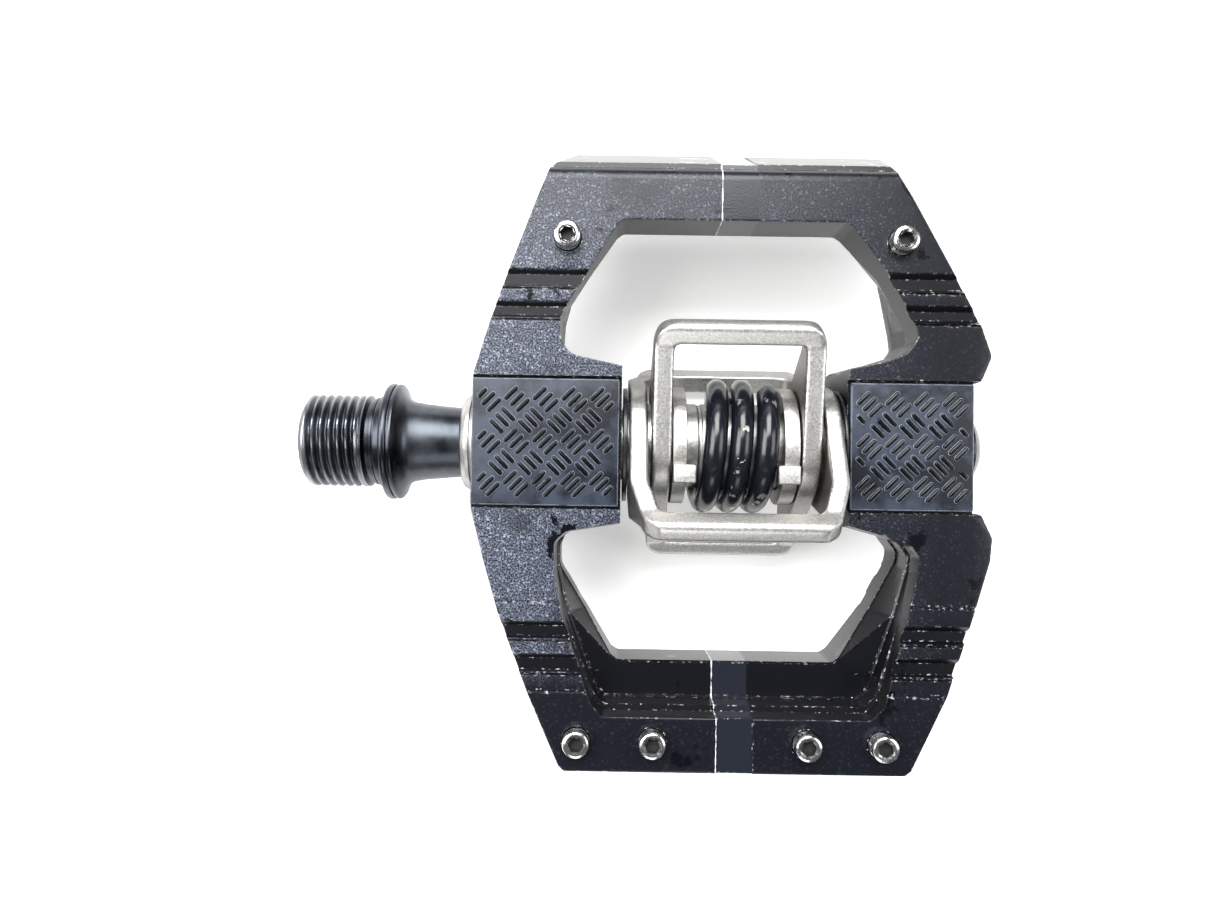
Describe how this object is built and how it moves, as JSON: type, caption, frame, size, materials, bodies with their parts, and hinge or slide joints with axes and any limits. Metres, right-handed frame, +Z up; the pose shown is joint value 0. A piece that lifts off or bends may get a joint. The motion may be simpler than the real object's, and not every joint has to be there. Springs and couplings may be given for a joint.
{
  "type": "clipless pedal",
  "caption": "Double-sided clipless trail pedal: platform frame with studs and pads that spins on a threaded spindle, with two sprung crossed wings for the cleat.",
  "frame": {"origin": "on the spindle axis, at the middle of the bounding box", "axes": "+X along the spindle away from the crank, +Z up through the sole side, +Y across the platform"},
  "size_m": [0.1034, 0.0964, 0.0356],
  "materials": {
    "anodised_aluminium": "satin blue-black anodising over a fine blasted grain, with dark greasy patches",
    "pad_plastic": "satin moulded black plastic with a basket-weave of short ribs",
    "polished_steel": "dark polished steel, bright on the thread crests",
    "blasted_stainless": "bright bead-blasted stainless steel with faint brown stains",
    "pin_steel": "bright plated stud with traces of thread lock",
    "spring_paint": "glossy black coating, chipped to metal on its crests",
    "black_plastic": "moulded black plastic",
    "rubber": "black seal rubber",
    "bearing_steel": "ground bearing steel",
    "bronze": "stamped bronze cage"
  },
  "bodies": {
    "spindle": {"spindle": "polished_steel", "bearing_inner_ring": "bearing_steel", "thrust_washer": "bearing_steel", "lock_nut": "bearing_steel"},
    "platform": {"platform_frame": "anodised_aluminium", "traction_pad_top_inboard": "pad_plastic", "traction_pad_top_outboard": "pad_plastic", "traction_pad_bottom_inboard": "pad_plastic", "traction_pad_bottom_outboard": "pad_plastic", "traction_pin_top_1": "pin_steel", "traction_pin_top_2": "pin_steel", "traction_pin_top_3": "pin_steel", "traction_pin_top_4": "pin_steel", "traction_pin_top_5": "pin_steel", "traction_pin_top_6": "pin_steel", "traction_pin_bottom_1": "pin_steel", "traction_pin_bottom_2": "pin_steel", "traction_pin_bottom_3": "pin_steel", "traction_pin_bottom_4": "pin_steel", "traction_pin_bottom_5": "pin_steel", "traction_pin_bottom_6": "pin_steel", "inboard_seal": "blasted_stainless", "glide_bushing": "black_plastic", "inner_lip_seal": "rubber", "bearing_outer_ring": "bearing_steel", "bearing_shield_inner": "rubber", "bearing_shield_outer": "rubber", "end_cap": "black_plastic", "end_cap_oring": "rubber", "wing_sleeve": "blasted_stainless", "wing_washer_inboard": "black_plastic", "wing_washer_outboard": "black_plastic", "stop_collar_inboard": "blasted_stainless", "stop_collar_outboard": "blasted_stainless", "torsion_spring": "spring_paint"},
    "ball_cage": {"bearing_ball_cage": "bronze"},
    "inner_wing": {"inner_wing": "blasted_stainless"},
    "outer_wing": {"outer_wing": "blasted_stainless"}
  },
  "joints": [
    {"name": "platform_spin", "type": "hinge", "parent": "spindle", "child": "platform", "pos_m": [0.01317, 0, 0], "axis": [1, 0, 0], "continuous": true},
    {"name": "ball_cage_spin", "type": "hinge", "parent": "spindle", "child": "ball_cage", "pos_m": [0.03778, 0, 0], "axis": [1, 0, 0], "continuous": true},
    {"name": "inner_wing_pivot", "type": "hinge", "parent": "platform", "child": "inner_wing", "pos_m": [0.01317, 0, 0], "axis": [1, 0, 0], "range_deg": [-28, 0], "stiffness_Nm_per_rad": 1, "deforming": ["torsion_spring"]},
    {"name": "outer_wing_pivot", "type": "hinge", "parent": "platform", "child": "outer_wing", "pos_m": [0.01317, 0, 0], "axis": [1, 0, 0], "range_deg": [0, 28], "stiffness_Nm_per_rad": 1}
  ],
  "couplings": [
    {"joint": "ball_cage_spin", "follows": "platform_spin", "ratio": 0.596}
  ]
}
